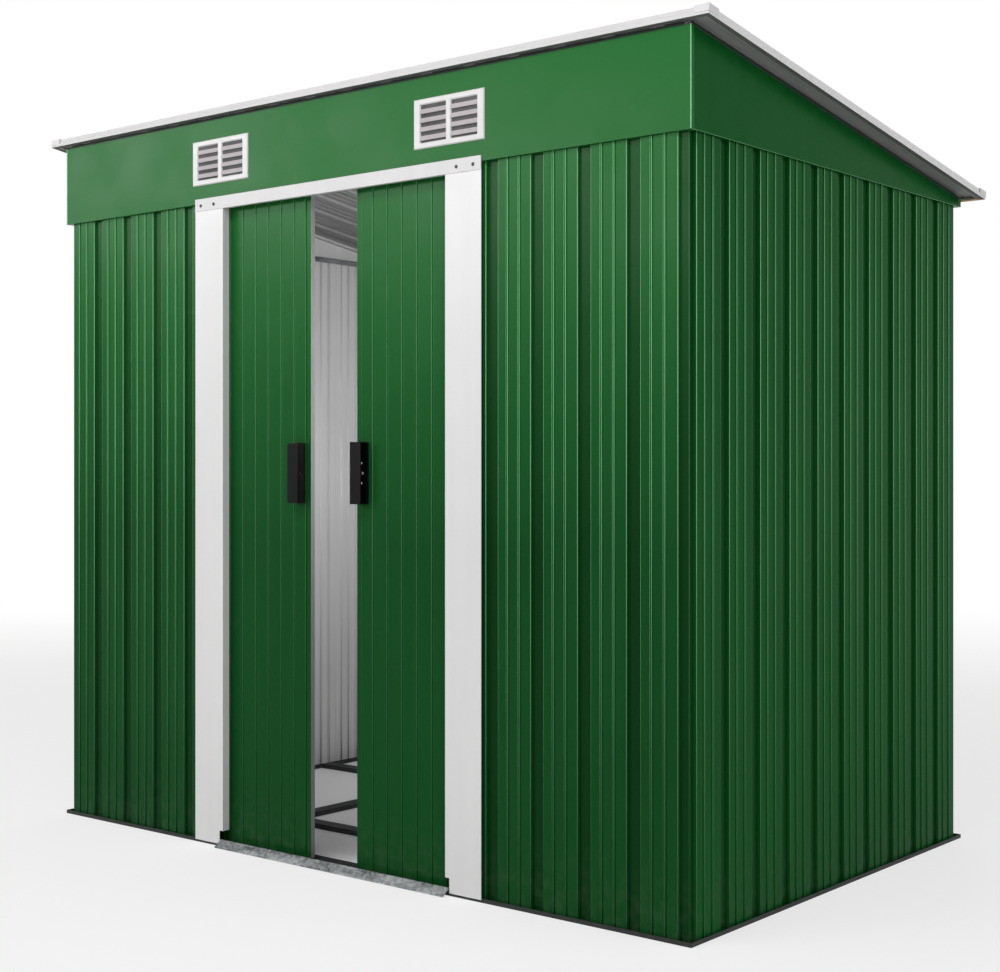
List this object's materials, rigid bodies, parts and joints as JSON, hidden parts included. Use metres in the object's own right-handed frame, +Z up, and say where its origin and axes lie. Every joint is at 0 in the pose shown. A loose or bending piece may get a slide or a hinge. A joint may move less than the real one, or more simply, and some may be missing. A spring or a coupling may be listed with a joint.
{
  "type": "metal storage shed",
  "caption": "Ribbed steel garden shed with a single-slope roof, white trim, vents and two sliding doors.",
  "frame": {"origin": "middle of the bounding box's footprint, on the ground", "axes": "+Z up, the doors face -Y, +X to the right of someone facing the doors"},
  "size_m": [2.0572, 1.2854, 1.7902],
  "materials": {
    "green_paint": "glossy green paint outside, pale grey paint inside",
    "white_paint": "satin white paint",
    "white_plastic": "moulded white plastic",
    "dark_steel": "dark grey coated steel",
    "galvanised_steel": "spangled galvanised steel",
    "black_plastic": "satin black moulded plastic"
  },
  "bodies": {
    "shed": {"base_rail_front": "dark_steel", "base_rail_rear": "dark_steel", "base_rail_left": "dark_steel", "base_rail_right": "dark_steel", "foundation_bars_long": "dark_steel", "foundation_bars_short": "dark_steel", "door_sill": "galvanised_steel", "front_wall_left": "green_paint", "front_wall_right": "green_paint", "left_wall_front": "green_paint", "left_wall_rear": "green_paint", "right_wall_front": "green_paint", "right_wall_rear": "green_paint", "rear_wall_left": "green_paint", "rear_wall_right": "green_paint", "front_fascia": "green_paint", "rear_fascia": "green_paint", "left_gable": "green_paint", "right_gable": "green_paint", "vents": "white_plastic", "door_header": "white_paint", "door_jamb_left": "white_paint", "door_jamb_right": "white_paint", "door_top_track": "galvanised_steel", "top_rails": "galvanised_steel", "roof_rails": "dark_steel", "roof_sheet_1": "green_paint", "roof_sheet_2": "green_paint", "roof_sheet_3": "green_paint", "roof_sheet_4": "green_paint", "roof_trim_front": "white_paint", "roof_trim_rear": "white_paint", "roof_trim_left": "white_paint", "roof_trim_right": "white_paint", "roof_corner_caps": "white_plastic"},
    "left_door": {"left_door_panel": "green_paint", "left_door_rails": "green_paint", "left_door_hangers": "galvanised_steel", "left_door_glides": "black_plastic", "left_door_handle": "black_plastic"},
    "right_door": {"right_door_panel": "green_paint", "right_door_rails": "green_paint", "right_door_hangers": "galvanised_steel", "right_door_glides": "black_plastic", "right_door_handle": "black_plastic"}
  },
  "joints": [
    {"name": "left_door_slide", "type": "slide", "parent": "shed", "child": "left_door", "axis": [-1, 0, 0], "range_m": [-0.0792, 0.2215]},
    {"name": "right_door_slide", "type": "slide", "parent": "shed", "child": "right_door", "axis": [1, 0, 0], "range_m": [-0.0648, 0.246]}
  ]
}
